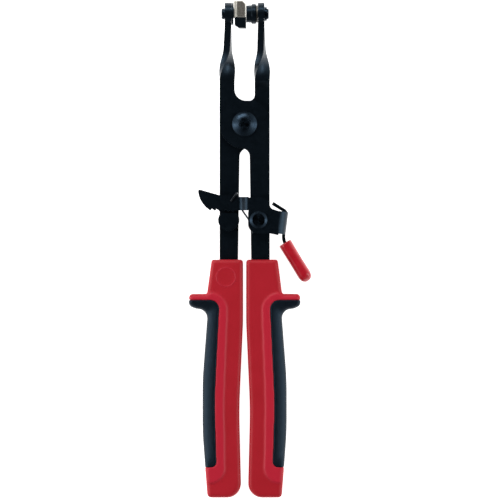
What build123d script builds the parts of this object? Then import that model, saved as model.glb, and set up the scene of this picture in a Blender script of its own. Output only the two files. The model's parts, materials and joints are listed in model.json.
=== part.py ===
"""Self-locking hose clamp pliers with swivel jaws and a ratchet lever, in millimetres.

While the pieces are made, the main pivot is the Z axis, the jaws point to +Y and the bench is
z = 0. At the end everything is shifted so that the origin is the bottom centre of the whole box.
"""
from build123d import *
from math import atan2, cos, degrees, radians, sin
import os

# ---- steel arms
BAR_THICKNESS = 4.0
PLATE_GAP = 0.05            # oil film between the two lobes
LOBE_RADIUS = 15.1
SHANK_INNER_TOP = 3.1       # half the gap between the shanks, under the lobes
SHANK_INNER_END = 4.1       # the same, where the shanks enter the handles
UPPER_BAR_WIDTH = 9.0
UPPER_BAR_TOP_WIDTH = 8.2   # after the twist
UPPER_CROTCH_Y = 14.0       # bottom of the U between the upper bars
FRONT_CROTCH_RADIUS = 6.8
BACK_CROTCH_RADIUS = 3.6
LOWER_CROTCH_Y = 14.7       # top of the slot between the shanks
LOWER_CROTCH_RADIUS = 5.0
BAR_ROOT_Y = 21.0           # where the upper bars leave the flat lobes
BAR_STATIONS = 20           # cross sections along each upper bar
STEP_LENGTH = 5.6           # length of the step that brings the back bar level with the front one
TWIST_ABOVE_ROOT = 3.5      # from the root to the start of the twist
TWIST_BELOW_EYE = 20.4      # from the end of the twist to the eye's centre
TWIST_ANGLE = 82.0          # the last few degrees are made just below the eye
EYE_Y = 66.4
EYE_X = 10.0                # centre of each eye plate
EYE_RADIUS = 6.8
TANG_WIDTH = 8.0
TANG_OUTER_X = 15.0
TANG_SHOULDER_DEPTH = 9.0   # how far the full shank goes into the handle
TANG_END_Y = 198.0

# ---- main pivot
PIVOT_SHANK_RADIUS = 4.0
PIVOT_HEAD_RADIUS = 7.5
PIVOT_HEAD_RIM = 0.7
PIVOT_HEAD_HEIGHT = 3.4
PIVOT_WASHER_RADIUS = 6.5
PIVOT_WASHER_THICKNESS = 1.0
PIVOT_TAIL_RADIUS = 5.6
PIVOT_TAIL_HEIGHT = 2.2

# ---- handles
HANDLE_THICKNESS = 20.0
HANDLE_TOP_Y = 81.9
HANDLE_END_Y = 225.4
HANDLE_INNER_X = 0.95
HANDLE_WAIST_X = 3.3        # inner edge at the middle of the grip
HANDLE_WAIST_Y = 172.0
HANDLE_SHOULDER_X = 19.9
GUARD_TOP_Y = 102.6
GUARD_TIP_X = 33.8
GUARD_LIP = 3.7             # height of the hard lip above the soft grip
GUARD_THICKNESS = 8.6
GUARD_ROOT_X = 22.3
GRIP_BELLY_X = 25.4
GRIP_BELLY_Y = 168.0
HANDLE_HEEL_X = 22.4
HANDLE_EDGE_RADIUS = 2.4
GRIP_BOUNDARY_TOP_X = 15.2
GRIP_BOUNDARY_MID_X = 18.2
GRIP_BOUNDARY_END_X = 17.0
GRIP_END_Y = 207.0
GRIP_CORNER_RADIUS = 5.3
GRIP_SKIN = 3.0             # soft layer over the hard core's outer edge
GRIP_WRAP_DEPTH = 4.0       # depth of the soft layer on the front and back
BAND_HEIGHT = 0.85          # how far the band round the soft grip stands above the handle's face
BAND_TOP_X = 10.4           # inner edge of the band at the guard, the belly and the heel
BAND_MID_X = 12.9
BAND_HEEL_X = 12.0
BAND_END_Y = 216.5
BAND_TOP_RADIUS = 10.0
BAND_END_RADIUS = 9.0
MARK_RADIUS = 6.0           # plain ring raised on the left handle's face
MARK_WIDTH = 0.6
MARK_HEIGHT = 0.3
MARK_X = 11.3
MARK_Y = 92.4

# ---- jaws
JAW_PIN_RADIUS = 2.5
JAW_PIN_HEAD_RADIUS = 3.3
JAW_PIN_HEAD_HEIGHT = 1.9
JAW_FACE_X = 0.9            # plane where the closed jaws meet
JAW_GAP = 0.1
LEFT_COLLAR_RADIUS = 6.65
LEFT_COLLAR_THICKNESS = 1.2
BLOCK_ABOVE_AXIS = 8.0
BLOCK_BELOW_AXIS = 2.4
BLOCK_DEPTH = 12.0          # along Z
BLOCK_PLATE = 1.5           # plate of the block beside the collar
BLOCK_CORNER = 1.0
BLOCK_TOP_CHAMFER = 2.1
BLOCK_RIM = 0.6
CLAW_BELOW_AXIS = 8.7
CLAW_LEFT_X = 6.0
CLAW_WALL = 2.4             # wall of the claw that runs up behind the block
RIGHT_HUB_RADIUS = 5.25
RIGHT_HUB_LENGTH = 3.1
RIGHT_FLANGE_RADIUS = 6.05
RIGHT_FLANGE_LENGTH = 2.8
SPRING_WASHER_RADIUS = 5.2
RING_RADIUS = 4.25
RING_THICKNESS = 1.35
PIN_END_RADIUS = 3.2
PIN_END_LENGTH = 1.2
JAW_GROOVE_WIDTH = 3.0
JAW_GROOVE_DEPTH = 1.5
PIN_SEAT_DEPTH = 3.4        # wall left between the jaw face and the pin's blind seat

# ---- ratchet lever
SHEET = 2.0
LEVER_X = 8.4
LEVER_Y = 58.0
LEVER_PLATE_LIFT = 2.8      # room for the spring's coil behind the hub plate
BLADE_DROP = 4.2            # step from the hub plate back to the blade
STEP_START_X = 2.4
STEP_END_X = -3.6
TOOTH_PITCH = 2.75
TOOTH_DEPTH = 1.2
TOOTH_COUNT = 6
FIRST_TOOTH_X = -20.6
FIRST_TOOTH_Y = 52.3
LAST_TOOTH_Y = 53.2
BLADE_TIP_X = -27.0         # centre and radius of the blade's round tip
BLADE_TIP_Y = 40.75
BLADE_TIP_RADIUS = 1.05
BLADE_BACK_X = -15.2        # bend of the blade's back edge
BLADE_BACK_Y = 43.0
BLADE_ROOT_Y = 43.7
BLADE_HEEL_Y = 52.2         # lower edge of the blade and of the step
LEAD_IN_X = -25.9           # middle of the curved edge that rides up the stud
LEAD_IN_Y = 47.1
HUB_TOP_Y = 44.5
HUB_BOTTOM_Y = 66.0
HUB_LEFT_X = 2.1
HUB_SHOULDER_X = 13.0
TAB_X = 16.9                # free end of the thumb tab
TAB_Y = 47.9
ROLL_TOP_Y = 53.2
ROLL_WIDTH = 13.6
WEB_LEAN = 7.4              # degrees that the roll and the web lean in towards the tail
ROLL_RADIUS = 6.0           # outside radius of the quarter bend into the web
ROLL_START_X = 20.4
WEB_BOTTOM_Z = 4.0
BUSH_RADIUS = 4.0
BUSH_NECK_RADIUS = 3.2
LEVER_RIVET_RADIUS = 2.4
LEVER_RIVET_HEAD_RADIUS = 5.3
LEVER_RIVET_FLAT_RADIUS = 3.8
LEVER_RIVET_HEAD_HEIGHT = 1.5
LEVER_RIVET_TAIL_RADIUS = 4.0
LEVER_RIVET_TAIL_HEIGHT = 1.3
WIRE_RADIUS = 0.55
COIL_RADIUS = 4.75          # to the centre of the wire
LONG_LEG_ANGLE = 208.0      # where the long leg leaves the coil
HOOK_X = -4.6               # where the long leg turns over the blade's back edge
HOOK_Y = 42.6
HOOK_END_X = -8.4
HOOK_END_Y = 46.6
SLEEVE_WIDTH = 8.2
SLEEVE_DEPTH = 13.6
SLEEVE_LENGTH = 27.0
SLEEVE_MOUTH = 2.0          # from the tail's bend to the sleeve's mouth
SLEEVE_SKIN = 3.0           # beyond the end of the tail
TAIL_BEND_Y = 70.2
TAIL_BEND_RADIUS = 9.0
TAB_BEND_RADIUS = 3.0
TAIL_ANGLE = -58.5          # of the lever's tail in the sleeve, from +X

# ---- catch stud
STUD_X = -9.6
STUD_Y = 58.1
STUD_RADIUS = 6.4
STUD_FLAT = 4.3             # from the stud's centre to its flat top
STUD_HEIGHT = 3.9
STUD_SHANK_RADIUS = 2.5
STUD_TAIL_RADIUS = 3.9
STUD_TAIL_HEIGHT = 1.2

# ---- fits
RUNNING = 0.05              # radial clearance of every pin that turns
SEAT = 0.05                 # axial clearance beside a plate that turns

# ---- levels
MID_Z = HANDLE_THICKNESS / 2
FRONT_BASE = MID_Z + PLATE_GAP / 2
FRONT_FACE = FRONT_BASE + BAR_THICKNESS
BACK_FACE = MID_Z - PLATE_GAP / 2
BACK_BASE = BACK_FACE - BAR_THICKNESS
PLATE_BASE = FRONT_FACE + LEVER_PLATE_LIFT
PLATE_FACE = PLATE_BASE + SHEET
BLADE_BASE = PLATE_BASE - BLADE_DROP
BLADE_FACE = BLADE_BASE + SHEET
EYE_Z = FRONT_BASE + BAR_THICKNESS / 2
EYE_INNER_X = EYE_X - BAR_THICKNESS / 2
EYE_OUTER_X = EYE_X + BAR_THICKNESS / 2


# ---- helpers
def outline(*corners):
    """Closed face through corners (x, y, corner radius)."""
    points = [(x, y) for x, y, radius in corners]
    radii = [radius for x, y, radius in corners]
    return make_face(FilletPolyline(*points, radius=radii, close=True))


def slab(face, low, high):
    """The face extruded from level low to level high."""
    return Pos(0, 0, low) * extrude(face, high - low, dir=(0, 0, 1))


def box_between(low, high):
    """Box from its lowest to its highest corner."""
    size = [b - a for a, b in zip(low, high)]
    centre = [(a + b) / 2 for a, b in zip(low, high)]
    return Pos(*centre) * Box(*size)


def rod_z(radius, low, high, x=0.0, y=0.0):
    return Pos(x, y, (low + high) / 2) * Cylinder(radius, high - low)


def rod_x(radius, low, high):
    """Round rod along X on the jaws' common axis."""
    return Pos((low + high) / 2, EYE_Y, EYE_Z) * Rot(0, 90, 0) * Cylinder(radius, high - low)


def mirrored(shape):
    return mirror(shape, about=Plane.YZ)


def eased(share):
    """0 to 1 with a slow start and end, for a share that may lie outside 0 to 1."""
    share = min(1.0, max(0.0, share))
    return share * share * (3 - 2 * share)


# ---- arms
def lobe_face(crotch_radius):
    """Lobe, the shank to the right and the root of the upper bar to the left."""
    bar_inner = LOBE_RADIUS - UPPER_BAR_WIDTH
    shank_end = HANDLE_TOP_Y + TANG_SHOULDER_DEPTH
    top_x = (LOBE_RADIUS ** 2 - UPPER_CROTCH_Y ** 2) ** 0.5
    low_x = (LOBE_RADIUS ** 2 - LOWER_CROTCH_Y ** 2) ** 0.5
    top_angle = degrees(atan2(UPPER_CROTCH_Y, top_x))
    low_angle = degrees(atan2(LOWER_CROTCH_Y, low_x))
    upper_centre = (-bar_inner + crotch_radius, UPPER_CROTCH_Y + crotch_radius)
    lower_centre = (SHANK_INNER_TOP - LOWER_CROTCH_RADIUS, -LOWER_CROTCH_Y - LOWER_CROTCH_RADIUS)
    shank_side = Polyline((lower_centre[0] + LOWER_CROTCH_RADIUS, lower_centre[1]),
                          (SHANK_INNER_END, -shank_end), (LOBE_RADIUS, -shank_end), (LOBE_RADIUS, 0))
    bar_end = Polyline((-bar_inner, upper_centre[1]), (-bar_inner, BAR_ROOT_Y),
                       (-LOBE_RADIUS, BAR_ROOT_Y), (-LOBE_RADIUS, 0))
    return make_face([
        shank_side,
        CenterArc((0, 0), LOBE_RADIUS, 0, top_angle),
        Line((top_x, UPPER_CROTCH_Y), (upper_centre[0], UPPER_CROTCH_Y)),
        CenterArc(upper_centre, crotch_radius, 180, 90),
        bar_end,
        CenterArc((0, 0), LOBE_RADIUS, 180, low_angle),
        Line((-low_x, -LOWER_CROTCH_Y), (lower_centre[0], -LOWER_CROTCH_Y)),
        CenterArc(lower_centre, LOWER_CROTCH_RADIUS, 0, 90)])


def twisted_bar(base_z, sense):
    """Upper bar from the lobe's root: it steps to the eye's level, then turns edge-on to the eye."""
    root_x = LOBE_RADIUS - UPPER_BAR_WIDTH / 2
    start_z = base_z + BAR_THICKNESS / 2
    twist_start = BAR_ROOT_Y + TWIST_ABOVE_ROOT
    twist_end = EYE_Y - TWIST_BELOW_EYE
    eye_bottom = EYE_Y - EYE_RADIUS
    inside_eye = EYE_Y - 0.6 * EYE_RADIUS
    stations = [BAR_ROOT_Y + (twist_end - BAR_ROOT_Y) * i / BAR_STATIONS for i in range(BAR_STATIONS + 1)]
    sections = []
    for y in stations + [eye_bottom, inside_eye]:
        step = eased((y - BAR_ROOT_Y) / STEP_LENGTH)
        turn = eased((y - twist_start) / (twist_end - twist_start))
        last_turn = min(1.0, max(0.0, (y - twist_end) / (eye_bottom - twist_end)))
        angle = TWIST_ANGLE * turn + (90 - TWIST_ANGLE) * last_turn
        x = -root_x + (root_x - EYE_X) * eased((y - twist_start) / (eye_bottom - twist_start))
        z = start_z + (EYE_Z - start_z) * step
        width = UPPER_BAR_WIDTH + (UPPER_BAR_TOP_WIDTH - UPPER_BAR_WIDTH) * turn
        across = (cos(radians(angle)), 0, -sense * sin(radians(angle)))
        plane = Plane(origin=(x, y, z), x_dir=across, z_dir=(0, 1, 0))
        sections.append(plane * Rectangle(width, BAR_THICKNESS))
    return loft(sections, ruled=True)


def arm(base_z, turned):
    """One arm, right shank and upper left bar. turned mirrors it for the other side.

    Both bars are twisted the same way, so the mirrored one starts out twisted the other way.
    """
    crotch_radius = BACK_CROTCH_RADIUS if turned else FRONT_CROTCH_RADIUS
    plate = slab(lobe_face(crotch_radius), base_z, base_z + BAR_THICKNESS)
    tang = box_between((TANG_OUTER_X - TANG_WIDTH, -TANG_END_Y, base_z),
                       (TANG_OUTER_X, -HANDLE_TOP_Y, base_z + BAR_THICKNESS))
    eye = rod_x(EYE_RADIUS, -EYE_OUTER_X, -EYE_INNER_X)
    bar = twisted_bar(base_z, -1 if turned else 1)
    solid = plate + tang + bar + eye
    solid -= rod_z(PIVOT_SHANK_RADIUS + RUNNING, 0, HANDLE_THICKNESS)
    solid -= rod_x(JAW_PIN_RADIUS + RUNNING, -EYE_OUTER_X - BAR_THICKNESS, -EYE_INNER_X + BAR_THICKNESS)
    if turned:
        solid = mirrored(solid)
    return solid


def front_arm():
    return arm(FRONT_BASE, False) - rod_z(LEVER_RIVET_RADIUS, 0, HANDLE_THICKNESS, LEVER_X, -LEVER_Y)


def back_arm():
    return arm(BACK_BASE, True) - rod_z(STUD_SHANK_RADIUS, 0, HANDLE_THICKNESS, STUD_X, -STUD_Y)


# ---- main pivot
def domed_head(radius, rim, height, base):
    """Round head with a short upright rim and a dome of one sphere on it."""
    rise = height - rim
    ball = (radius ** 2 + rise ** 2) / (2 * rise)
    dome = Pos(0, 0, base + height - ball) * Sphere(ball)
    return rod_z(radius, base, base + height) & dome


def pivot_rivet():
    """Domed head in front, plain shank, closed tail behind the washer."""
    head_base = FRONT_FACE + SEAT
    washer_base = BACK_BASE - SEAT - PIVOT_WASHER_THICKNESS
    head = domed_head(PIVOT_HEAD_RADIUS, PIVOT_HEAD_RIM, PIVOT_HEAD_HEIGHT, head_base)
    tail = rod_z(PIVOT_TAIL_RADIUS, washer_base - PIVOT_TAIL_HEIGHT, washer_base)
    tail = chamfer(tail.edges().filter_by(GeomType.CIRCLE).sort_by(Axis.Z)[0], 0.55 * PIVOT_TAIL_HEIGHT)
    return head + rod_z(PIVOT_SHANK_RADIUS, washer_base, head_base) + tail


def pivot_washer():
    top = BACK_BASE - SEAT
    low = top - PIVOT_WASHER_THICKNESS
    ring = rod_z(PIVOT_WASHER_RADIUS, low, top)
    return ring - rod_z(PIVOT_SHANK_RADIUS + RUNNING, low - 1, top + 1)


# ---- handles, made for the right hand side
def handle_outline():
    """Whole outline of the right handle, guard and soft grip together."""
    guard_low = GUARD_TOP_Y + GUARD_THICKNESS
    waist_top = HANDLE_TOP_Y + 38.0
    return outline(
        (HANDLE_INNER_X, -HANDLE_TOP_Y, 1.6),
        (HANDLE_SHOULDER_X, -HANDLE_TOP_Y, 1.3),
        (GUARD_ROOT_X + 0.4, -GUARD_TOP_Y, 1.0),
        (GUARD_TIP_X - 0.4, -GUARD_TOP_Y, 2.0),
        (GUARD_TIP_X, -guard_low + 1.5, 3.0),
        (GUARD_TIP_X - 4.6, -guard_low - 0.4, 3.2),
        (GUARD_ROOT_X - 0.2, -guard_low - 0.4, 5.6),
        (GRIP_BELLY_X, -GRIP_BELLY_Y + 14, 220.0),
        (GRIP_BELLY_X, -GRIP_BELLY_Y - 18, 220.0),
        (HANDLE_HEEL_X, -HANDLE_END_Y, 2.4),
        (HANDLE_WAIST_X - 1.3, -HANDLE_END_Y, 8.5),
        (HANDLE_WAIST_X - 0.9, -HANDLE_END_Y + 16, 60.0),
        (HANDLE_WAIST_X, -HANDLE_WAIST_Y, 300.0),
        (HANDLE_INNER_X, -waist_top, 200.0))


def grip_region():
    """Region of the handle outline that the soft grip covers."""
    lip_low = GUARD_TOP_Y + GUARD_LIP
    return outline(
        (GUARD_TIP_X + 5, -lip_low, 0),
        (GRIP_BOUNDARY_TOP_X, -lip_low, GRIP_CORNER_RADIUS),
        (GRIP_BOUNDARY_MID_X, -GRIP_BELLY_Y, 300.0),
        (GRIP_BOUNDARY_END_X, -GRIP_END_Y, 3.0),
        (GUARD_TIP_X + 5, -GRIP_END_Y, 0))


def band_region():
    """Region of the band that stands up round the soft grip, from the guard's lip to the heel."""
    beyond = GUARD_TIP_X + 5
    return outline(
        (beyond, -GUARD_TOP_Y + 0.4, 0),
        (BAND_TOP_X, -GUARD_TOP_Y + 0.4, BAND_TOP_RADIUS),
        (BAND_MID_X, -GRIP_BELLY_Y, 300.0),
        (BAND_HEEL_X, -BAND_END_Y, BAND_END_RADIUS),
        (beyond, -BAND_END_Y, 0))


def handle_blank(inset):
    """The handle's outline with rounded front and back edges, inset from the full thickness."""
    blank = slab(handle_outline(), inset, HANDLE_THICKNESS - inset)
    rims = blank.faces().filter_by(Axis.Z).edges()
    return fillet(rims, HANDLE_EDGE_RADIUS)


def grip_tongue():
    """Part of the hard core that runs under the soft grip."""
    inside = Pos(-GRIP_SKIN, GRIP_SKIN) * handle_outline()
    region = grip_region() & inside
    return slab(region, GRIP_WRAP_DEPTH, HANDLE_THICKNESS - GRIP_WRAP_DEPTH)


def handle_grip():
    soft = handle_blank(0) & slab(grip_region(), -1, HANDLE_THICKNESS + 1)
    return soft - grip_tongue()


def tang_pocket(base_z):
    """Space that the shank's end and the tang take inside the handle."""
    shank_end = HANDLE_TOP_Y + TANG_SHOULDER_DEPTH
    top_z = base_z + BAR_THICKNESS
    shank = slab(lobe_face(FRONT_CROTCH_RADIUS), base_z, top_z)
    tang = box_between((TANG_OUTER_X - TANG_WIDTH, -TANG_END_Y, base_z), (TANG_OUTER_X, -shank_end + 1, top_z))
    return shank + tang


def handle_body(base_z):
    band = handle_blank(0) & slab(band_region(), -1, HANDLE_THICKNESS + 1)
    core = handle_blank(BAND_HEIGHT) + band
    core -= slab(grip_region(), -1, HANDLE_THICKNESS + 1)
    core += grip_tongue()
    return core - tang_pocket(base_z)


def raised_mark():
    """Plain ring on the front of the left handle."""
    ring = Circle(MARK_RADIUS) - Circle(MARK_RADIUS - MARK_WIDTH)
    face_z = HANDLE_THICKNESS - BAND_HEIGHT
    return slab(Pos(-MARK_X, -MARK_Y) * ring, face_z - MARK_HEIGHT, face_z + MARK_HEIGHT)


# ---- left jaw, on the front arm's eye
def jaw_groove(side):
    """Upright groove in a jaw face for the clamp's ear. side is -1 for the left jaw."""
    face_x = JAW_FACE_X + (JAW_GAP if side > 0 else 0)
    half = JAW_GROOVE_WIDTH / 2
    xs = sorted((face_x - side, face_x + side * JAW_GROOVE_DEPTH))
    return box_between((xs[0], EYE_Y - 20, EYE_Z - half), (xs[1], EYE_Y + 20, EYE_Z + half))


def left_jaw_pin():
    head_x = -EYE_OUTER_X - SEAT
    head = rod_x(JAW_PIN_HEAD_RADIUS, head_x - JAW_PIN_HEAD_HEIGHT, head_x)
    rim = head.edges().filter_by(GeomType.CIRCLE).sort_by(Axis.X)[0]
    head = chamfer(rim, 0.6)
    return head + rod_x(JAW_PIN_RADIUS, head_x, JAW_FACE_X - PIN_SEAT_DEPTH)


def left_jaw_collar():
    low = -EYE_INNER_X + SEAT
    collar = rod_x(LEFT_COLLAR_RADIUS, low, low + LEFT_COLLAR_THICKNESS)
    return collar - rod_x(JAW_PIN_RADIUS, low - 1, low + LEFT_COLLAR_THICKNESS + 1)


def claw_space():
    """Box of the claw: its foot below the axis and its wall behind the block."""
    back_z = EYE_Z - BLOCK_DEPTH / 2
    foot = box_between((-CLAW_LEFT_X, EYE_Y - CLAW_BELOW_AXIS, back_z),
                       (JAW_FACE_X, EYE_Y - BLOCK_BELOW_AXIS, back_z + BLOCK_DEPTH))
    wall = box_between((-CLAW_LEFT_X, EYE_Y - BLOCK_BELOW_AXIS, back_z),
                       (JAW_FACE_X, EYE_Y + 0.7 * BLOCK_ABOVE_AXIS, back_z + CLAW_WALL))
    return foot + wall


def left_jaw_claw():
    claw = claw_space()
    corner = claw.edges().filter_by(Axis.Z).sort_by_distance((-CLAW_LEFT_X, EYE_Y - CLAW_BELOW_AXIS, EYE_Z))[0]
    claw = chamfer(corner, 1.9, 2.9)
    claw -= rod_x(JAW_PIN_RADIUS, -EYE_X, JAW_FACE_X - PIN_SEAT_DEPTH)
    return claw - jaw_groove(-1)


def block_part(low_x, high_x):
    """Length of the left jaw's block with a bevel round its front face."""
    back_z = EYE_Z - BLOCK_DEPTH / 2
    part = box_between((low_x, EYE_Y - BLOCK_BELOW_AXIS, back_z),
                       (high_x, EYE_Y + BLOCK_ABOVE_AXIS, back_z + BLOCK_DEPTH))
    uprights = part.edges().filter_by(Axis.Z)
    corner = uprights.sort_by_distance((high_x, EYE_Y + BLOCK_ABOVE_AXIS, EYE_Z))[0]
    if high_x - low_x > 2 * BLOCK_TOP_CHAMFER:
        others = [edge for edge in uprights if edge is not corner]
        part = fillet(others, BLOCK_CORNER)
        uprights = part.edges().filter_by(Axis.Z)
        corner = uprights.sort_by_distance((high_x, EYE_Y + BLOCK_ABOVE_AXIS, EYE_Z))[0]
        part = chamfer(corner, BLOCK_TOP_CHAMFER)
    return chamfer(part.faces().sort_by(Axis.Z)[-1].edges(), BLOCK_RIM)


def left_jaw_block():
    """Plated block: a plate beside the collar and a body with round corners."""
    left = -EYE_INNER_X + SEAT + LEFT_COLLAR_THICKNESS
    split = left + BLOCK_PLATE
    block = block_part(left, split) + block_part(split, JAW_FACE_X)
    block -= claw_space()
    block -= rod_x(JAW_PIN_RADIUS, -EYE_X, JAW_FACE_X - PIN_SEAT_DEPTH)
    return block - jaw_groove(-1)


# ---- right jaw, on the back arm's eye
def right_jaw_body():
    face_x = JAW_FACE_X + JAW_GAP
    hub_end = face_x + RIGHT_HUB_LENGTH
    flange_end = hub_end + RIGHT_FLANGE_LENGTH
    flange = rod_x(RIGHT_FLANGE_RADIUS, hub_end, flange_end)
    flange = chamfer(flange.edges().filter_by(GeomType.CIRCLE), 0.35)
    jaw = rod_x(RIGHT_HUB_RADIUS, face_x, hub_end + 0.5) + flange
    jaw -= rod_x(JAW_PIN_RADIUS, face_x + PIN_SEAT_DEPTH, EYE_X)
    return jaw - jaw_groove(1)


def right_jaw_pin():
    ring_end = EYE_OUTER_X + SEAT + RING_THICKNESS
    shank = rod_x(JAW_PIN_RADIUS, JAW_FACE_X + JAW_GAP + PIN_SEAT_DEPTH, ring_end)
    end = rod_x(PIN_END_RADIUS, ring_end, ring_end + PIN_END_LENGTH)
    rim = end.edges().filter_by(GeomType.CIRCLE).sort_by(Axis.X)[-1]
    return shank + chamfer(rim, 0.4)


def right_jaw_spring_washer():
    low = JAW_FACE_X + JAW_GAP + RIGHT_HUB_LENGTH + RIGHT_FLANGE_LENGTH
    high = EYE_INNER_X - SEAT
    return rod_x(SPRING_WASHER_RADIUS, low, high) - rod_x(JAW_PIN_RADIUS, low - 1, high + 1)


def right_jaw_retaining_ring():
    low = EYE_OUTER_X + SEAT
    ring = rod_x(RING_RADIUS, low, low + RING_THICKNESS)
    return ring - rod_x(JAW_PIN_RADIUS, low - 1, low + RING_THICKNESS + 1)


# ---- ratchet lever
def on_tip(angle):
    """Point of the blade's round tip."""
    return (BLADE_TIP_X + BLADE_TIP_RADIUS * cos(radians(angle)),
            -BLADE_TIP_Y + BLADE_TIP_RADIUS * sin(radians(angle)))


def blade_face():
    """Toothed blade in front of the left shank, with its curved lead-in edge at the tip."""
    teeth = []
    drop = (LAST_TOOTH_Y - FIRST_TOOTH_Y) / (TOOTH_COUNT - 1)
    for i in range(TOOTH_COUNT):
        tip_x = FIRST_TOOTH_X + i * TOOTH_PITCH
        tip_y = -FIRST_TOOTH_Y - i * drop
        teeth.append((tip_x, tip_y))
        teeth.append((tip_x + 0.3 * TOOTH_PITCH, tip_y + TOOTH_DEPTH))
    root = (STEP_END_X, -BLADE_ROOT_Y)
    back = Polyline(root, (BLADE_BACK_X, -BLADE_BACK_Y), on_tip(73))
    tip = ThreePointArc(on_tip(73), on_tip(135), on_tip(197))
    lead_in = ThreePointArc(on_tip(197), (LEAD_IN_X, -LEAD_IN_Y), teeth[0])
    edge = Polyline(*teeth, (STEP_END_X, -BLADE_HEEL_Y), root)
    return make_face([back, tip, lead_in, edge])


def hub_face():
    """Plate around the lever's rivet, up to the quarter bend on its right."""
    return outline(
        (STEP_START_X, -HUB_TOP_Y, 0),
        (HUB_SHOULDER_X, -HUB_TOP_Y, 6.0),
        (TAB_X - 0.9, -ROLL_TOP_Y + 2.0, 2.5),
        (ROLL_START_X, -ROLL_TOP_Y + 0.6, 0),
        (ROLL_START_X, -ROLL_TOP_Y - ROLL_WIDTH - 0.4, 0),
        (TAB_X - 2.3, -HUB_BOTTOM_Y, 12.0),
        (HUB_LEFT_X, -HUB_BOTTOM_Y, 5.6),
        (HUB_LEFT_X, -BLADE_HEEL_Y - 1.4, 1.0),
        (STEP_START_X, -BLADE_HEEL_Y, 0))


def step_face():
    """Side view of the step from hub plate to blade, in the XZ plane."""
    mid_x = (STEP_START_X + STEP_END_X) / 2
    upper = Bezier((STEP_START_X, PLATE_FACE), (mid_x, PLATE_FACE), (mid_x, BLADE_FACE), (STEP_END_X, BLADE_FACE))
    lower = Bezier((STEP_START_X, PLATE_BASE), (mid_x, PLATE_BASE), (mid_x, BLADE_BASE), (STEP_END_X, BLADE_BASE))
    ends = [Line((STEP_START_X, PLATE_BASE), (STEP_START_X, PLATE_FACE)),
            Line((STEP_END_X, BLADE_BASE), (STEP_END_X, BLADE_FACE))]
    return make_face([upper, lower] + ends)


def tail_direction():
    return Vector(cos(radians(TAIL_ANGLE)), sin(radians(TAIL_ANGLE)))


def web_top():
    """Centre of the web at the upper end of the roll."""
    return Vector(ROLL_START_X + ROLL_RADIUS - SHEET / 2, -ROLL_TOP_Y)


def tail_point(distance):
    """Point of the tail's centre line at a distance beyond its bend."""
    drop = TAIL_BEND_Y - ROLL_TOP_Y
    bend = web_top() + Vector(-drop * sin(radians(WEB_LEAN)), -drop * cos(radians(WEB_LEAN)))
    return bend + tail_direction() * distance


def web_line():
    """Centre line of the strip that stands edge-on: thumb tab, web and tail."""
    bend = tail_point(0)
    tail_end = tail_point(SLEEVE_MOUTH + SLEEVE_LENGTH - SLEEVE_SKIN)
    return FilletPolyline((TAB_X, -TAB_Y), (web_top().X, web_top().Y), (bend.X, bend.Y),
                          (tail_end.X, tail_end.Y), radius=[TAB_BEND_RADIUS, TAIL_BEND_RADIUS])


def web():
    roll_z = PLATE_FACE - ROLL_RADIUS
    strip = slab(trace(web_line(), SHEET), WEB_BOTTOM_Z, roll_z)
    ring = Circle(ROLL_RADIUS) - Circle(ROLL_RADIUS - SHEET)
    quarter = ring & (Pos(ROLL_RADIUS, ROLL_RADIUS) * Rectangle(2 * ROLL_RADIUS, 2 * ROLL_RADIUS))
    roll = extrude(Plane.XZ * quarter, ROLL_WIDTH, dir=(0, -1, 0))
    reach = ROLL_RADIUS - SHEET / 2
    hinge = Pos(web_top().X, web_top().Y, roll_z) * Rot(0, 0, -WEB_LEAN)
    return strip + hinge * Pos(-reach, 0, 0) * roll


def ratchet_lever():
    hub = slab(hub_face(), PLATE_BASE, PLATE_FACE)
    blade = slab(blade_face(), BLADE_BASE, BLADE_FACE)
    step_top = (HUB_TOP_Y + BLADE_ROOT_Y) / 2
    step = Pos(0, -step_top, 0) * extrude(Plane.XZ * step_face(), BLADE_HEEL_Y - step_top, dir=(0, -1, 0))
    lever = hub + step + blade + web()
    return lever - rod_z(BUSH_NECK_RADIUS + RUNNING, PLATE_BASE - 1, PLATE_FACE + 1, LEVER_X, -LEVER_Y)


def sleeve_shape():
    """Dipped sleeve: a flat-sided rod with a round end, cut square at its mouth."""
    run = SLEEVE_LENGTH + SLEEVE_WIDTH
    centre = tail_point(SLEEVE_MOUTH + SLEEVE_LENGTH - run / 2)
    stadium = Pos(centre.X, centre.Y) * Rot(0, 0, TAIL_ANGLE) * SlotOverall(run, SLEEVE_WIDTH)
    middle_z = (WEB_BOTTOM_Z + PLATE_FACE - ROLL_RADIUS) / 2
    sleeve = slab(stadium, middle_z - SLEEVE_DEPTH / 2, middle_z + SLEEVE_DEPTH / 2)
    sleeve = fillet(sleeve.faces().filter_by(Axis.Z).edges(), 0.42 * SLEEVE_WIDTH)
    mouth = tail_point(SLEEVE_MOUTH - SLEEVE_WIDTH)
    above_mouth = Box(2 * SLEEVE_WIDTH, 4 * SLEEVE_WIDTH, 4 * SLEEVE_DEPTH)
    return sleeve - Pos(mouth.X, mouth.Y, middle_z) * Rot(0, 0, TAIL_ANGLE) * above_mouth


def lever_grip():
    roll_z = PLATE_FACE - ROLL_RADIUS
    return sleeve_shape() - slab(trace(web_line(), SHEET), WEB_BOTTOM_Z, roll_z)


def lever_bush():
    low = FRONT_FACE
    collar = rod_z(BUSH_RADIUS, low, PLATE_BASE - SEAT, LEVER_X, -LEVER_Y)
    neck = rod_z(BUSH_NECK_RADIUS, low, PLATE_FACE + SEAT, LEVER_X, -LEVER_Y)
    return collar + neck - rod_z(LEVER_RIVET_RADIUS, low - 1, PLATE_FACE + 1, LEVER_X, -LEVER_Y)


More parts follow.
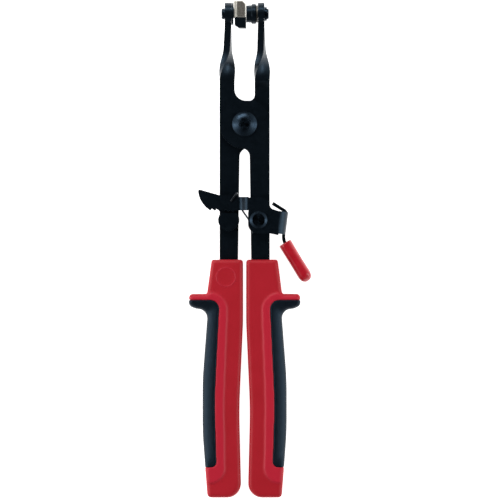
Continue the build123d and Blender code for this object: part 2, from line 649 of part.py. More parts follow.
def lever_rivet():
    head_base = PLATE_FACE + SEAT
    head = rod_z(LEVER_RIVET_HEAD_RADIUS, head_base, head_base + LEVER_RIVET_HEAD_HEIGHT, LEVER_X, -LEVER_Y)
    rim = head.edges().filter_by(GeomType.CIRCLE).sort_by(Axis.Z)[-1]
    bevel = LEVER_RIVET_HEAD_RADIUS - LEVER_RIVET_FLAT_RADIUS
    head = chamfer(rim, 0.75 * LEVER_RIVET_HEAD_HEIGHT, bevel)
    shank = rod_z(LEVER_RIVET_RADIUS, FRONT_BASE, head_base, LEVER_X, -LEVER_Y)
    tail = rod_z(LEVER_RIVET_TAIL_RADIUS, FRONT_BASE - LEVER_RIVET_TAIL_HEIGHT, FRONT_BASE, LEVER_X, -LEVER_Y)
    return head + shank + tail


def wire(*points):
    """Round wire through points, with a ball at every corner."""
    pieces = []
    for a, b in zip(points, points[1:]):
        start, end = Vector(*a), Vector(*b)
        plane = Plane(origin=start, z_dir=end - start)
        rod = Cylinder(WIRE_RADIUS, (end - start).length, align=(Align.CENTER, Align.CENTER, Align.MIN))
        pieces.append(plane * rod)
    for corner in points:
        pieces.append(Pos(*corner) * Sphere(WIRE_RADIUS))
    solid = pieces[0]
    for piece in pieces[1:]:
        solid += piece
    return solid


def lever_spring():
    """Three closed turns about the bush, a long leg over the blade and a short leg on the shank."""
    low = FRONT_FACE + WIRE_RADIUS + 0.1
    high = PLATE_BASE - WIRE_RADIUS - 0.1
    turns = Pos(LEVER_X, -LEVER_Y, low) * Torus(COIL_RADIUS, WIRE_RADIUS)
    turns += Pos(LEVER_X, -LEVER_Y, high) * Torus(COIL_RADIUS, WIRE_RADIUS)
    turns += Pos(LEVER_X, -LEVER_Y, (low + high) / 2) * Torus(COIL_RADIUS, WIRE_RADIUS)
    behind = BLADE_BASE - WIRE_RADIUS - 0.15
    over = BLADE_FACE + WIRE_RADIUS + 0.05
    leave_x = LEVER_X + COIL_RADIUS * cos(radians(LONG_LEG_ANGLE))
    leave_y = -LEVER_Y + COIL_RADIUS * sin(radians(LONG_LEG_ANGLE))
    long_leg = wire((leave_x, leave_y, high), (STEP_END_X + 2.4, -BLADE_HEEL_Y - 0.2, behind),
                    (HOOK_X, -HOOK_Y, behind), (HOOK_X, -HOOK_Y, over), (HOOK_END_X, -HOOK_END_Y, over))
    short_leg = wire((LEVER_X - COIL_RADIUS, -LEVER_Y, low), (LEVER_X - COIL_RADIUS + 0.6, -LEVER_Y - 7.0, low))
    return turns + long_leg + short_leg


# ---- catch stud
def catch_stud():
    head = rod_z(STUD_RADIUS, BACK_FACE, BACK_FACE + STUD_HEIGHT, STUD_X, -STUD_Y)
    flat_y = -STUD_Y + STUD_FLAT
    head -= box_between((STUD_X - 10, flat_y, 0), (STUD_X + 10, flat_y + 10, 30))
    shank = rod_z(STUD_SHANK_RADIUS, BACK_BASE, BACK_FACE, STUD_X, -STUD_Y)
    tail = rod_z(STUD_TAIL_RADIUS, BACK_BASE - STUD_TAIL_HEIGHT, BACK_BASE, STUD_X, -STUD_Y)
    return head + shank + tail


def all_pieces():
    right_body = handle_body(FRONT_BASE)
    left_body = mirrored(handle_body(BACK_BASE)) + raised_mark()
    grip = handle_grip()
    return {
        "front_arm": front_arm(),
        "back_arm": back_arm(),
        "pivot_rivet": pivot_rivet(),
        "pivot_washer": pivot_washer(),
        "right_handle_body": right_body,
        "right_handle_grip": grip,
        "left_handle_body": left_body,
        "left_handle_grip": mirrored(grip),
        "left_jaw_pin": left_jaw_pin(),
        "left_jaw_collar": left_jaw_collar(),
        "left_jaw_claw": left_jaw_claw(),
        "left_jaw_block": left_jaw_block(),
        "right_jaw_body": right_jaw_body(),
        "right_jaw_pin": right_jaw_pin(),
        "right_jaw_spring_washer": right_jaw_spring_washer(),
        "right_jaw_retaining_ring": right_jaw_retaining_ring(),
        "ratchet_lever": ratchet_lever(),
        "lever_grip": lever_grip(),
        "lever_rivet": lever_rivet(),
        "lever_bush": lever_bush(),
        "lever_spring": lever_spring(),
        "catch_stud": catch_stud(),
    }


def main():
    pieces = all_pieces()
    boxes = [piece.bounding_box() for piece in pieces.values()]
    shift_x = -(min(b.min.X for b in boxes) + max(b.max.X for b in boxes)) / 2
    shift_y = -(min(b.min.Y for b in boxes) + max(b.max.Y for b in boxes)) / 2
    os.makedirs("parts", exist_ok=True)
    for name, piece in pieces.items():
        export_step(Pos(shift_x, shift_y, 0) * piece, "parts/" + name + ".step")
    print("pivot at", round(shift_x, 4), round(shift_y, 4))
    print("left and right jaw axis at y", round(shift_y + EYE_Y, 4), "z", EYE_Z)
    print("lever axis at", round(shift_x + LEVER_X, 4), round(shift_y - LEVER_Y, 4))


main()
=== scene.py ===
"""Self-locking hose clamp pliers, seen from straight above on a pale bench. All in metres."""
import json
from math import cos, pi, radians, sin

import bpy
import numpy as np
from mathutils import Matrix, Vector
from mathutils.bvhtree import BVHTree


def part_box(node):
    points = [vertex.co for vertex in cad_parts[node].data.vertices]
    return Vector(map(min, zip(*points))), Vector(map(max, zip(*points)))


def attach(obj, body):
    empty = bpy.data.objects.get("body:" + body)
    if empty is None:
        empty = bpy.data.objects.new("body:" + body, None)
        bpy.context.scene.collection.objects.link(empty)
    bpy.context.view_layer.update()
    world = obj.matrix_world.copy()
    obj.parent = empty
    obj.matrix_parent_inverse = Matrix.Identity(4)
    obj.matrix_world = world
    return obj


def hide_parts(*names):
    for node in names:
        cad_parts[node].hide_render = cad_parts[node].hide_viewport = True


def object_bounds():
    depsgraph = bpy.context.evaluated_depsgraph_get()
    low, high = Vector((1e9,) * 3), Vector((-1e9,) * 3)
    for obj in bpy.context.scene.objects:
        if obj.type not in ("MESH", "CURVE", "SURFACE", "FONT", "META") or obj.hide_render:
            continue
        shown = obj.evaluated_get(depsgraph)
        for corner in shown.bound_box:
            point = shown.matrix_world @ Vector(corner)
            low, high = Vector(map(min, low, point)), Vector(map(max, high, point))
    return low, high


MM = 0.001
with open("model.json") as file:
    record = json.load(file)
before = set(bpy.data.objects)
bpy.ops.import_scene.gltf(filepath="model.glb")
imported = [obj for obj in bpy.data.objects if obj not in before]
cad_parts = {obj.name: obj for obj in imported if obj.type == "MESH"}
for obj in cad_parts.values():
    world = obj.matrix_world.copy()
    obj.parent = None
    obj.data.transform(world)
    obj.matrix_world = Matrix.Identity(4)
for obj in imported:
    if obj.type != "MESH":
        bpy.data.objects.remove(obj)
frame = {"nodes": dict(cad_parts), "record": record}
nodes = frame["nodes"]
cad_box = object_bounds()

# ---- places, from the frame
joints = {joint["name"]: joint for joint in frame["record"]["behaviour"]["joints"]}
PIVOT = Vector(joints["opening"]["pos_m"])
LEVER_AXIS = Vector(joints["lever_release"]["pos_m"])
HALF_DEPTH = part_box("left_handle_body")[1][2] - PIVOT.z

# ---- sizes that repeat the design's
BAND_HEIGHT = 0.85 * MM             # of the band round the soft grip, above the handle's face
MARK_CENTRE = PIVOT + Vector((-11.3 * MM, -92.4 * MM, HALF_DEPTH - BAND_HEIGHT))
MARK_RADIUS = 5.7 * MM
TAIL_ANGLE = radians(-58.5)         # of the lever's tail, from +X
WIRE_RADIUS = 0.55 * MM
COIL_RADIUS = 4.75 * MM
COIL_START = radians(208)           # where the long leg leaves the coil
COIL_TURN = radians(342)

# ---- mesh quality
BODY_VOXEL = 0.5 * MM
GRIP_VOXEL = 0.45 * MM
KEPT_SHARE = 0.4                    # of the triangles of a remeshed piece

# ---- camera
VIEW_WIDTH = 302.0 * MM             # width of the view at the arms' level
VIEW_CENTRE = (PIVOT.x + 3.25 * MM, PIVOT.y - 76.11 * MM)
LENS = 420.0
SENSOR = 36.0


# ================================================================ materials
class Surface:
    """A procedural material on one Principled shader, with short calls for its nodes."""

    def __init__(self, name, **sockets):
        self.material = bpy.data.materials.new(name)
        self.material.use_nodes = True
        self.tree = self.material.node_tree
        self.shader = self.tree.nodes["Principled BSDF"]
        self.place = self.tree.nodes.new("ShaderNodeTexCoord").outputs["Object"]
        for socket, value in sockets.items():
            self.shader.inputs[socket.replace("_", " ")].default_value = value

    def node(self, kind, **settings):
        """A new shader node."""
        made = self.tree.nodes.new(kind)
        for key, value in settings.items():
            setattr(made, key, value)
        return made

    def link(self, output, target):
        self.tree.links.new(output, target)

    def shifted(self, centre):
        """Object coordinates with centre as their origin."""
        mapping = self.node("ShaderNodeMapping")
        mapping.inputs["Location"].default_value = [-c for c in centre]
        self.link(self.place, mapping.inputs["Vector"])
        return mapping.outputs["Vector"]

    def noise(self, scale, detail):
        """Noise from 0 to 1, in grains of about 1 / scale metres."""
        texture = self.node("ShaderNodeTexNoise")
        texture.inputs["Scale"].default_value = scale
        texture.inputs["Detail"].default_value = detail
        texture.inputs["Roughness"].default_value = 0.55
        self.link(self.place, texture.inputs["Vector"])
        return texture.outputs["Fac"]

    def rings(self, centre, scale):
        """Fine turned rings about the Z axis through centre."""
        texture = self.node("ShaderNodeTexWave", wave_type="RINGS", rings_direction="Z")
        texture.inputs["Scale"].default_value = scale
        texture.inputs["Distortion"].default_value = 0.6
        texture.inputs["Detail"].default_value = 2.0
        self.link(self.shifted(centre), texture.inputs["Vector"])
        return texture.outputs["Fac"]

    def place_part(self, name, axis):
        """One component of an object-space output: name is Object or Normal, axis X, Y or Z."""
        coordinates = self.node("ShaderNodeTexCoord")
        split = self.node("ShaderNodeSeparateXYZ")
        self.link(coordinates.outputs[name], split.inputs[0])
        return split.outputs[axis]

    def cells(self, scale):
        """Distance to the nearest of scattered points, for a pebbled surface."""
        texture = self.node("ShaderNodeTexVoronoi")
        texture.inputs["Scale"].default_value = scale
        self.link(self.place, texture.inputs["Vector"])
        return texture.outputs["Distance"]

    def remap(self, value, low, high, to_low=0.0, to_high=1.0):
        """value from low..high to to_low..to_high, clamped."""
        made = self.node("ShaderNodeMapRange")
        made.inputs["From Min"].default_value = low
        made.inputs["From Max"].default_value = high
        made.inputs["To Min"].default_value = to_low
        made.inputs["To Max"].default_value = to_high
        self.link(value, made.inputs["Value"])
        return made.outputs["Result"]

    def mix(self, factor, first, second):
        """Colour between first and second. Each is a colour or an output."""
        made = self.node("ShaderNodeMix", data_type="RGBA")
        self.link(factor, made.inputs[0])
        for value, socket in ((first, made.inputs[6]), (second, made.inputs[7])):
            if isinstance(value, tuple):
                socket.default_value = (*value, 1.0)
            else:
                self.link(value, socket)
        return made.outputs[2]

    def math(self, operation, first, second):
        made = self.node("ShaderNodeMath", operation=operation)
        for value, socket in ((first, made.inputs[0]), (second, made.inputs[1])):
            if isinstance(value, float):
                socket.default_value = value
            else:
                self.link(value, socket)
        return made.outputs[0]

    def edge_wear_and_highlight_mask(self, radius, low, high):
        """Mask for edge wear and painted edge highlight: 1 on sharp edges, 0 on flats, broken up by
        noise.
        """
        bevel = self.node("ShaderNodeBevel", samples=6)
        bevel.inputs["Radius"].default_value = radius
        geometry = self.node("ShaderNodeNewGeometry")
        dot = self.node("ShaderNodeVectorMath", operation="DOT_PRODUCT")
        self.link(bevel.outputs["Normal"], dot.inputs[0])
        self.link(geometry.outputs["Normal"], dot.inputs[1])
        edge = self.remap(dot.outputs["Value"], high, low)
        broken = self.remap(self.noise(900, 5), 0.35, 0.65, 0.25, 1.0)
        return self.math("MULTIPLY", edge, broken)

    def colour(self, output):
        self.link(output, self.shader.inputs["Base Color"])

    def roughness(self, output):
        self.link(output, self.shader.inputs["Roughness"])

    def bump(self, height, distance, strength):
        """Fine relief. distance is its depth in metres."""
        made = self.node("ShaderNodeBump")
        made.inputs["Distance"].default_value = distance
        made.inputs["Strength"].default_value = strength
        self.link(height, made.inputs["Height"])
        self.link(made.outputs["Normal"], self.shader.inputs["Normal"])


BLUE_SHEEN = (0.42, 0.70, 1.0, 1.0)


def black_oxide():
    """Blackened steel: near black with a cool sheen, faint mottling, and edges painted lighter, partly
    as thin wear and partly as a painted edge highlight.
    """
    s = Surface("black_oxide", Specular_IOR_Level=0.32, Specular_Tint=BLUE_SHEEN)
    mottle = s.remap(s.noise(260, 6), 0.3, 0.72)
    base = s.mix(mottle, (0.0012, 0.0020, 0.0030), (0.0026, 0.0042, 0.0062))
    # edges painted lighter: partly wear, partly painted edge highlight
    edge_wear_and_highlight = s.edge_wear_and_highlight_mask(0.0004, 0.70, 0.96)
    s.colour(s.mix(edge_wear_and_highlight, base, (0.014, 0.018, 0.024)))
    s.roughness(s.remap(s.noise(1400, 5), 0.3, 0.7, 0.27, 0.42))
    s.bump(s.noise(2600, 5), 0.00003, 0.45)
    return s.material


def polished_steel(name, centre):
    """Blued polished rivet head with fine turned rings about centre."""
    s = Surface(name, Metallic=1.0, Anisotropic=0.75)
    tangent = s.node("ShaderNodeTangent", direction_type="RADIAL", axis="Z")
    s.link(tangent.outputs["Tangent"], s.shader.inputs["Tangent"])
    cloud = s.remap(s.noise(500, 3), 0.3, 0.7)
    s.colour(s.mix(cloud, (0.012, 0.020, 0.031), (0.020, 0.032, 0.046)))
    s.roughness(s.remap(s.noise(900, 3), 0.3, 0.7, 0.24, 0.32))
    s.bump(s.rings(centre, 700), 0.000006, 0.4)
    return s.material


def zinc():
    """Dull plated zinc: cloudy, grainy, with a painted highlight on its bevels and edges painted
    brighter, partly as wear and partly as a painted edge highlight.
    """
    s = Surface("zinc_plate", Metallic=0.75)
    cloud = s.remap(s.noise(900, 6), 0.3, 0.7)
    base = s.mix(cloud, (0.15, 0.14, 0.12), (0.27, 0.255, 0.23))
    # painted highlight: faces that tilt away from straight up are painted brighter
    bevel_highlight = s.remap(s.place_part("Normal", "Z"), 0.93, 0.80)
    wear_and_highlight = s.math("MAXIMUM", s.edge_wear_and_highlight_mask(0.0004, 0.70, 0.96), bevel_highlight)
    # the pale colour here is painted highlight on bevels and edges, together with edge wear
    s.colour(s.mix(wear_and_highlight, base, (0.72, 0.70, 0.64)))
    s.roughness(s.remap(s.noise(2200, 5), 0.3, 0.7, 0.38, 0.55))
    s.bump(s.noise(2600, 6), 0.00007, 0.6)
    return s.material


def dull_plate():
    """Dull grey plate of the thin spring washer."""
    s = Surface("dull_plate", Metallic=0.8)
    cloud = s.remap(s.noise(900, 4), 0.3, 0.7)
    s.colour(s.mix(cloud, (0.085, 0.080, 0.070), (0.15, 0.142, 0.125)))
    s.roughness(s.remap(s.noise(2200, 4), 0.3, 0.7, 0.40, 0.52))
    return s.material


def spring_wire():
    """Drawn wire, blued."""
    s = Surface("blued_wire", Metallic=1.0)
    cloud = s.remap(s.noise(1200, 3), 0.3, 0.7)
    s.colour(s.mix(cloud, (0.018, 0.022, 0.028), (0.050, 0.056, 0.064)))
    s.roughness(s.remap(s.noise(3000, 3), 0.3, 0.7, 0.24, 0.36))
    return s.material


def red_plastic():
    """Hard red moulding with a fine spark-eroded texture, its raised band painted lighter as a painted
    highlight and its edges painted lighter as wear and painted edge highlight.
    """
    s = Surface("red_plastic", Specular_IOR_Level=0.28)
    shade = s.remap(s.noise(60, 3), 0.3, 0.7)
    recess = s.mix(shade, (0.405, 0.0070, 0.0160), (0.440, 0.0085, 0.0200))
    # painted highlight: the raised band is painted lighter than the recess, by its height from the
    # middle
    from_middle = s.math("SUBTRACT", s.place_part("Object", "Z"), PIVOT.z)
    height = s.math("ABSOLUTE", from_middle, 0.0)
    raised = s.remap(height, HALF_DEPTH - BAND_HEIGHT, HALF_DEPTH - 0.2 * BAND_HEIGHT)
    base = s.mix(raised, recess, (0.500, 0.0110, 0.0310))
    # edges painted lighter: partly wear, partly painted edge highlight
    wear_and_highlight = s.edge_wear_and_highlight_mask(0.0010, 0.75, 0.97)
    s.colour(s.mix(wear_and_highlight, base, (0.54, 0.018, 0.040)))
    s.roughness(s.remap(s.noise(2600, 4), 0.3, 0.7, 0.44, 0.58))
    s.bump(s.noise(4200, 3), 0.00005, 0.5)
    return s.material


def black_rubber():
    """Soft grip: dark blue-black, matte, with a fine pebble."""
    s = Surface("black_rubber", Specular_IOR_Level=0.30, Specular_Tint=BLUE_SHEEN)
    shade = s.remap(s.noise(300, 5), 0.3, 0.7)
    s.colour(s.mix(shade, (0.0016, 0.0030, 0.0052), (0.0036, 0.0062, 0.0098)))
    s.roughness(s.remap(s.noise(2400, 4), 0.3, 0.7, 0.40, 0.52))
    s.bump(s.cells(2600), 0.00008, 0.5)
    return s.material


def red_vinyl():
    """Dipped vinyl: glossy, slightly uneven, paler in patches on its edges, partly as wear from the
    thumb and partly as a painted edge highlight.
    """
    s = Surface("red_vinyl", Coat_Weight=0.3, Coat_Roughness=0.18, Specular_IOR_Level=0.3)
    shade = s.remap(s.noise(120, 4), 0.3, 0.7)
    base = s.mix(shade, (0.40, 0.0070, 0.016), (0.48, 0.0110, 0.024))
    patches = s.remap(s.noise(260, 6), 0.45, 0.6)
    # edges painted paler in patches: partly wear, partly painted edge highlight
    wear_and_highlight = s.math("MULTIPLY", s.edge_wear_and_highlight_mask(0.0012, 0.80, 0.98), patches)
    s.colour(s.mix(wear_and_highlight, base, (0.60, 0.05, 0.07)))
    s.roughness(s.remap(s.noise(900, 4), 0.3, 0.7, 0.26, 0.38))
    s.bump(s.noise(420, 3), 0.00010, 0.4)
    return s.material


def bench():
    """White bench that glows, so that it shows no shadow."""
    s = Surface("bench", Specular_IOR_Level=0.1, Emission_Color=(1, 1, 1, 1), Emission_Strength=1.0)
    s.colour(s.mix(s.noise(30, 3), (0.90, 0.90, 0.90), (0.92, 0.92, 0.92)))
    s.roughness(s.remap(s.noise(200, 3), 0.3, 0.7, 0.75, 0.85))
    return s.material


MATERIALS = {
    "black_steel": black_oxide(),
    "dark_polished_steel": polished_steel("polished_pivot", PIVOT),
    "zinc": zinc(),
    "spring_steel": spring_wire(),
    "red_plastic": red_plastic(),
    "black_rubber": black_rubber(),
    "red_vinyl": red_vinyl()}
SLOT_OF = {part["node"]: part["material_slot"] for part in frame["record"]["subparts"]}
BODIES = frame["record"]["behaviour"]["bodies"]
BODY_OF = {node: body for body, members in BODIES.items() for node in members}


def paint(obj, material):
    """The object wears this one material."""
    obj.data.materials.clear()
    obj.data.materials.append(material)


# ================================================================ mesh work
def new_object(name, data):
    obj = bpy.data.objects.new(name, data)
    bpy.context.scene.collection.objects.link(obj)
    return obj


def stands_for(piece, node):
    """The piece takes a CAD node's place, body and finish."""
    paint(piece, MATERIALS[SLOT_OF[node]])
    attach(piece, BODY_OF[node])
    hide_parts(node)


def applied(obj):
    """The object's mesh with its modifiers applied, as a new mesh. The object is removed."""
    graph = bpy.context.evaluated_depsgraph_get()
    mesh = bpy.data.meshes.new_from_object(obj.evaluated_get(graph))
    bpy.data.objects.remove(obj)
    return mesh


def remeshed(node, voxel):
    """Even quads over a CAD node's surface."""
    copy = new_object(node + "_copy", nodes[node].data.copy())
    remesh = copy.modifiers.new("even_quads", "REMESH")
    remesh.mode = "VOXEL"
    remesh.voxel_size = voxel
    return applied(copy)


def mesh_points(mesh):
    """The mesh's corners as rows of x, y and z."""
    points = np.empty(3 * len(mesh.vertices))
    mesh.vertices.foreach_get("co", points)
    return points.reshape(-1, 3)


def set_points(mesh, points):
    mesh.vertices.foreach_set("co", points.ravel())
    mesh.update()


def relaxed(mesh, points, weight, rounds):
    """The points after rounds of smoothing along the mesh's edges. weight is a share from 0 to 1."""
    ends = np.empty(2 * len(mesh.edges), dtype=int)
    mesh.edges.foreach_get("vertices", ends)
    first = ends[0::2]
    second = ends[1::2]
    neighbours = np.bincount(ends, minlength=len(points))[:, None]
    count = len(points)
    for _ in range(rounds):
        sums = [np.bincount(first, points[second, axis], count)
                + np.bincount(second, points[first, axis], count) for axis in range(3)]
        points = points + weight * (np.stack(sums, axis=1) / neighbours - points)
    return points


def distance_to_faces(node, points):
    """Distance of each point from the front and back of a CAD node, without its middle."""
    mesh = nodes[node].data
    corners = [v.co for v in mesh.vertices]
    is_outer = [abs(corner.z - PIVOT.z) > HALF_DEPTH - FACE_DEPTH for corner in corners]
    faces = [p.vertices for p in mesh.polygons if all(is_outer[i] for i in p.vertices)]
    tree = BVHTree.FromPolygons(corners, faces)
    return np.array([tree.find_nearest(Vector(point))[3] for point in points])


def smooth_step(value, low, high):
    """0 below low, 1 above high, and eased between."""
    share = np.clip((value - low) / (high - low), 0, 1)
    return share * share * (3 - 2 * share)


def simplified(obj):
    """Fewer triangles where the surface is plain, smooth shaded."""
    collapse = obj.modifiers.new("fewer_triangles", "DECIMATE")
    collapse.ratio = KEPT_SHARE
    mesh = applied(obj)
    mesh.polygons.foreach_set("use_smooth", [True] * len(mesh.polygons))
    return mesh


# ================================================================ handles
GRIP_CROWN = 2.2 * MM               # how far the soft grip falls away at its outer side
GRIP_REACH = 7.0 * MM               # from the seam to the outer side
FACE_DEPTH = 3.5 * MM               # part of the hard moulding that counts as its front or back
SEAM_FIXED = 0.3 * MM               # the soft grip keeps its shape this near the seam
SEAM_FREE = 3.0 * MM                # and is free to round off from here
BODY_EASE = np.array([0.3, 0.3, 0.5])       # strength of a round of smoothing along x, y and z
BODY_ROUNDS = 8
GRIP_EASE = np.array([0.10, 0.10, 0.5])
GRIP_ROUNDS = 50
STEPS_EASE = 0.5                    # the same for taking off the grip's voxel steps
STEPS_ROUNDS = 4
MARK_WIRE = 0.35 * MM               # half the width of the ring


def with_mark(mesh):
    """The mesh with the plain raised ring of the left handle's front added to it."""
    bpy.ops.mesh.primitive_torus_add(location=MARK_CENTRE, major_radius=MARK_RADIUS,
                                     minor_radius=MARK_WIRE, major_segments=96, minor_segments=8)
    plain = new_object("plain_moulding", mesh)
    plain.select_set(True)
    bpy.context.view_layer.objects.active = plain
    bpy.ops.object.join()
    return applied(plain)


def moulded_body(side):
    """Hard red moulding: the design's shape with soft moulded edges all round."""
    node = side + "_handle_body"
    mesh = remeshed(node, BODY_VOXEL)
    set_points(mesh, relaxed(mesh, mesh_points(mesh), BODY_EASE, BODY_ROUNDS))
    mesh = simplified(new_object(node + "_fine", mesh))
    if side == "left":
        mesh = with_mark(mesh)
    stands_for(new_object(side + "_handle_moulding", mesh), node)


def moulded_grip(side):
    """Soft grip, crowned towards its outer side and flush where it meets the hard moulding."""
    node = side + "_handle_grip"
    mesh = remeshed(node, GRIP_VOXEL)
    points = relaxed(mesh, mesh_points(mesh), STEPS_EASE, STEPS_ROUNDS)
    seam = distance_to_faces(side + "_handle_body", points)
    lean = (points[:, 2] - PIVOT.z) / HALF_DEPTH
    points[:, 2] -= GRIP_CROWN * lean * np.clip(seam / GRIP_REACH, 0, 1) ** 2
    free = smooth_step(seam, SEAM_FIXED, SEAM_FREE)[:, None]
    set_points(mesh, relaxed(mesh, points, free * GRIP_EASE, GRIP_ROUNDS))
    mesh = simplified(new_object(node + "_fine", mesh))
    stands_for(new_object(side + "_soft_grip", mesh), node)


def handles():
    for side in ("left", "right"):
        moulded_body(side)
        moulded_grip(side)


# ================================================================ lever's sleeve
RING_POINTS = 56
SQUARENESS = 3.0                    # of the sleeve's cross section, where 2 is an ellipse
END_SQUARENESS = 2.3                # of the outline of its round end
THROAT = 0.3                        # share of the width left open at the mouth, round the tail
ROLLED_MOUTH = 0.6 * MM             # length of the rolled mouth
ROUND_END = 5.2 * MM                # length of the round end
SLEEVE_STEPS = 14                   # rings along the straight part, and along the round end


def oval(angle, half_width, half_depth):
    """Point of a squared oval."""
    c = cos(angle)
    s = sin(angle)
    size = (abs(c) ** SQUARENESS + abs(s) ** SQUARENESS) ** (-1 / SQUARENESS)
    return half_width * size * c, half_depth * size * s


def sleeve_rings(length):
    """Each ring's place from the mouth, and its shares of the full width and depth."""
    rings = [(1.6 * MM, THROAT, 0.62), (0.5 * MM, THROAT + 0.04, 0.68), (0.12 * MM, 0.60, 0.84)]
    rings += [(0.0, 0.84, 0.93), (0.18 * MM, 0.95, 0.975), (ROLLED_MOUTH, 1.0, 1.0)]
    straight = length - ROUND_END - ROLLED_MOUTH
    for i in range(1, SLEEVE_STEPS + 1):
        share = i / SLEEVE_STEPS
        waist = 1 - 0.035 * sin(pi * share) - 0.012 * share
        rings.append((ROLLED_MOUTH + straight * share, waist, waist))
    last_waist = rings[-1][1]
    for i in range(1, SLEEVE_STEPS + 1):
        share = sin(pi / 2 * i / (SLEEVE_STEPS + 0.2))
        size = last_waist * (1 - share ** END_SQUARENESS) ** (1 / END_SQUARENESS)
        rings.append((length - ROUND_END + ROUND_END * share, size, size))
    return rings


def sleeve():
    """Dipped sleeve with a rolled mouth round the lever's tail and a round end."""
    along = np.array([cos(TAIL_ANGLE), sin(TAIL_ANGLE), 0])
    across = np.array([-sin(TAIL_ANGLE), cos(TAIL_ANGLE), 0])
    cad_points = mesh_points(nodes["lever_grip"].data)
    run = cad_points @ along
    side = cad_points @ across
    depth = cad_points[:, 2]
    mouth, end = run.min(), run.max()
    half_width = (side.max() - side.min()) / 2
    half_depth = (depth.max() - depth.min()) / 2
    middle = across * (side.max() + side.min()) / 2 + np.array([0, 0, (depth.max() + depth.min()) / 2])
    rings = sleeve_rings(end - mouth)
    points = []
    faces = []
    for at, width_share, depth_share in rings:
        for i in range(RING_POINTS):
            angle = 2 * pi * i / RING_POINTS
            w, d = oval(angle, half_width * width_share, half_depth * depth_share)
            points.append(middle + along * (mouth + at) + across * w + np.array([0, 0, d]))
    for ring in range(len(rings) - 1):
        for i in range(RING_POINTS):
            a = ring * RING_POINTS + i
            b = ring * RING_POINTS + (i + 1) % RING_POINTS
            faces.append((a, b, b + RING_POINTS, a + RING_POINTS))
    last = (len(rings) - 1) * RING_POINTS
    faces.append(tuple(range(last, last + RING_POINTS)))
    faces.append(tuple(range(RING_POINTS - 1, -1, -1)))
    mesh = bpy.data.meshes.new("vinyl_sleeve")
    mesh.from_pydata([tuple(p) for p in points], [], faces)
    mesh.update()
    mesh.polygons.foreach_set("use_smooth", [True] * len(mesh.polygons))
    stands_for(new_object("vinyl_sleeve", mesh), "lever_grip")


# ================================================================ lever's spring
COIL_RISE = 1.5 * MM                # from the short leg to where the long leg leaves
COIL_STEPS = 28
COIL_LIFT = 0.1 * MM                # from the bush's lower end to the wire
HOOK_LIFT = 1.33 * MM               # from the catch stud's top to the middle of the hook's wire
SHORT_LEG = (7.2, 6.6, 5.2, 3.8, 2.4, 1.2)      # mm from the coil, from the tip inwards
LONG_LEG = (0.12, 0.3, 0.5, 0.7, 0.88)          # shares of the straight run to the hook


def spring():
    """One wire: a short leg on the shank, the coil, and a long leg hooked over the blade."""
    coil_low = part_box("lever_bush")[0][2] + WIRE_RADIUS + COIL_LIFT
    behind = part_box("lever_spring")[0][2] + WIRE_RADIUS
    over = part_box("catch_stud")[1][2] + HOOK_LIFT
    end_angle = COIL_START + COIL_TURN
    end = LEVER_AXIS + COIL_RADIUS * Vector((cos(end_angle), sin(end_angle), 0))
    leg = Vector((-sin(end_angle), cos(end_angle), 0))
    points = [end + leg * reach * MM for reach in SHORT_LEG]
    points = [Vector((p.x, p.y, coil_low)) for p in points]
    for i in range(COIL_STEPS + 1):
        share = i / COIL_STEPS
        angle = end_angle - COIL_TURN * share
        x = LEVER_AXIS.x + COIL_RADIUS * cos(angle)
        y = LEVER_AXIS.y + COIL_RADIUS * sin(angle)
        points.append(Vector((x, y, coil_low + COIL_RISE * share)))
    leave = points[-1]
    # the hook's places are in mm from the main pivot
    hook = [(-1.2, -52.5, behind), (-2.4, -48.6, behind), (-3.6, -44.6, behind), (-4.4, -41.9, behind),
            (-4.9, -41.7, over), (-5.6, -43.2, over), (-8.4, -46.7, over)]
    hook = [Vector((PIVOT.x + x * MM, PIVOT.y + y * MM, z)) for x, y, z in hook]
    points += [leave.lerp(hook[0], share) for share in LONG_LEG]
    points += hook
    curve = bpy.data.curves.new("torsion_spring", "CURVE")
    curve.dimensions = "3D"
    curve.bevel_depth = WIRE_RADIUS
    curve.bevel_resolution = 3
    curve.use_fill_caps = True
    curve.resolution_u = 4
    line = curve.splines.new("NURBS")
    line.points.add(len(points) - 1)
    for point, place in zip(line.points, points):
        point.co = (*place, 1.0)
    line.order_u = 3
    line.use_endpoint_u = True
    stands_for(new_object("torsion_spring", curve), "lever_spring")


# ================================================================ CAD nodes that stay
ROUNDED = {                         # radius of the broken edges, in mm
    "front_arm": 0.14, "back_arm": 0.14, "ratchet_lever": 0.12, "catch_stud": 0.15, "left_jaw_pin": 0.2,
    "left_jaw_claw": 0.25, "left_jaw_collar": 0.15, "right_jaw_body": 0.2, "right_jaw_pin": 0.15,
    "right_jaw_retaining_ring": 0.2, "right_jaw_spring_washer": 0.1, "lever_rivet": 0.12,
    "pivot_rivet": 0.12, "pivot_washer": 0.12}
FLAT_ANGLE = radians(1)             # faces that meet at less are one face
SHARP_ANGLE = radians(30)           # faces that meet at more get a round edge


def rounded(obj, radius):
    """Small round edges where faces meet at a sharp angle."""
    obj.data.polygons.foreach_set("use_smooth", [True] * len(obj.data.polygons))
    flat = obj.modifiers.new("flat_faces", "DECIMATE")
    flat.decimate_type = "DISSOLVE"
    flat.angle_limit = FLAT_ANGLE
    bevel = obj.modifiers.new("round_edges", "BEVEL")
    bevel.width = radius
    bevel.segments = 3
    bevel.limit_method = "ANGLE"
    bevel.angle_limit = SHARP_ANGLE
    bevel.harden_normals = True
    bevel.use_clamp_overlap = True


def finish_cad_nodes():
    """Materials on every CAD node, and broken edges on those that are seen."""
    for name, obj in nodes.items():
        paint(obj, MATERIALS[SLOT_OF[name]])
    for name, radius in ROUNDED.items():
        rounded(nodes[name], radius * MM)
    paint(nodes["right_jaw_spring_washer"], dull_plate())
    lever_finish = polished_steel("polished_lever_rivet", LEVER_AXIS)
    for name in ("lever_rivet", "lever_bush"):
        paint(nodes[name], lever_finish)


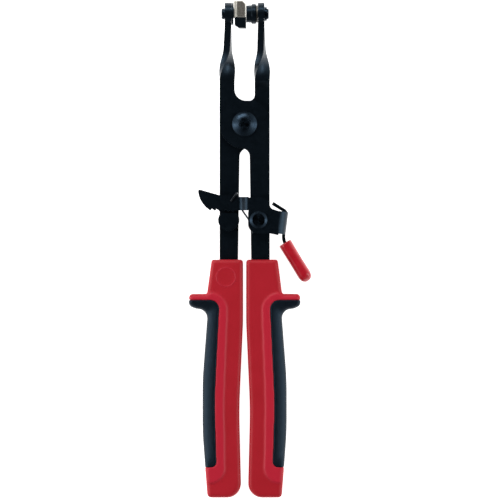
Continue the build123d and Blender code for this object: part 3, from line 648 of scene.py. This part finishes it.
# ================================================================ stage
FADE_START = 0.55                   # height where the surroundings start to darken, of 1 at the zenith
FADE_END = 0.86                     # and where they are darkest
SIDE_FULL = 0.7                     # squared sideways share of a direction that gets the full light
SIDE_LEAST = 0.25                   # light left in front and behind


def add_floor():
    """The bench, level with the tool's lowest point."""
    bpy.ops.mesh.primitive_plane_add(size=6, location=(0, 0, cad_box[0][2]))
    floor = bpy.context.object
    floor.name = "bench_top"
    paint(floor, bench())


def add_light(name, place, size, power):
    """A lamp of this width and height, aimed at the origin."""
    data = bpy.data.lights.new(name, "AREA")
    data.shape = "RECTANGLE"
    data.size, data.size_y = size
    data.energy = power
    light = bpy.data.objects.new(name, data)
    bpy.context.scene.collection.objects.link(light)
    light.location = place
    light.rotation_euler = (-Vector(place)).to_track_quat("-Z", "Y").to_euler()


def add_world(horizon, zenith):
    """Studio surroundings: bright to the left and right, dark overhead so that black stays black."""
    world = bpy.data.worlds.new("studio")
    world.use_nodes = True
    tree = world.node_tree
    direction = tree.nodes.new("ShaderNodeTexCoord")
    split = tree.nodes.new("ShaderNodeSeparateXYZ")
    fade = tree.nodes.new("ShaderNodeMapRange")
    fade.interpolation_type = "SMOOTHSTEP"
    fade.inputs["From Min"].default_value = FADE_START
    fade.inputs["From Max"].default_value = FADE_END
    fade.inputs["To Min"].default_value = horizon
    fade.inputs["To Max"].default_value = zenith
    tree.links.new(direction.outputs["Generated"], split.inputs[0])
    tree.links.new(split.outputs["Z"], fade.inputs["Value"])
    side = tree.nodes.new("ShaderNodeMath")
    side.operation = "MULTIPLY"
    tree.links.new(split.outputs["X"], side.inputs[0])
    tree.links.new(split.outputs["X"], side.inputs[1])
    share = tree.nodes.new("ShaderNodeMapRange")
    share.inputs["From Max"].default_value = SIDE_FULL
    share.inputs["To Min"].default_value = SIDE_LEAST
    tree.links.new(side.outputs[0], share.inputs["Value"])
    strength = tree.nodes.new("ShaderNodeMath")
    strength.operation = "MULTIPLY"
    tree.links.new(fade.outputs["Result"], strength.inputs[0])
    tree.links.new(share.outputs["Result"], strength.inputs[1])
    tree.links.new(strength.outputs[0], tree.nodes["Background"].inputs["Strength"])
    tree.nodes["Background"].inputs["Color"].default_value = (0.98, 0.99, 1.0, 1)
    bpy.context.scene.world = world


def add_lights():
    add_world(1.0, 0.02)
    add_light("key", (-0.5, 1.3, 0.95), (1.4, 0.5), 14)
    add_light("left_fill", (-1.3, -0.1, 0.75), (0.5, 1.4), 10)
    add_light("right_fill", (1.3, -0.1, 0.75), (0.5, 1.4), 9)


def add_camera():
    """Straight above, so far off that the view is nearly parallel."""
    data = bpy.data.cameras.new("camera")
    data.lens = LENS
    data.sensor_width = SENSOR
    data.clip_end = 50
    camera = bpy.data.objects.new("camera", data)
    bpy.context.scene.collection.objects.link(camera)
    camera.location = (*VIEW_CENTRE, PIVOT.z + VIEW_WIDTH * LENS / SENSOR)
    bpy.context.scene.camera = camera


finish_cad_nodes()
handles()
sleeve()
spring()
add_floor()
add_lights()
add_camera()
bpy.context.scene.view_settings.view_transform = "Standard"
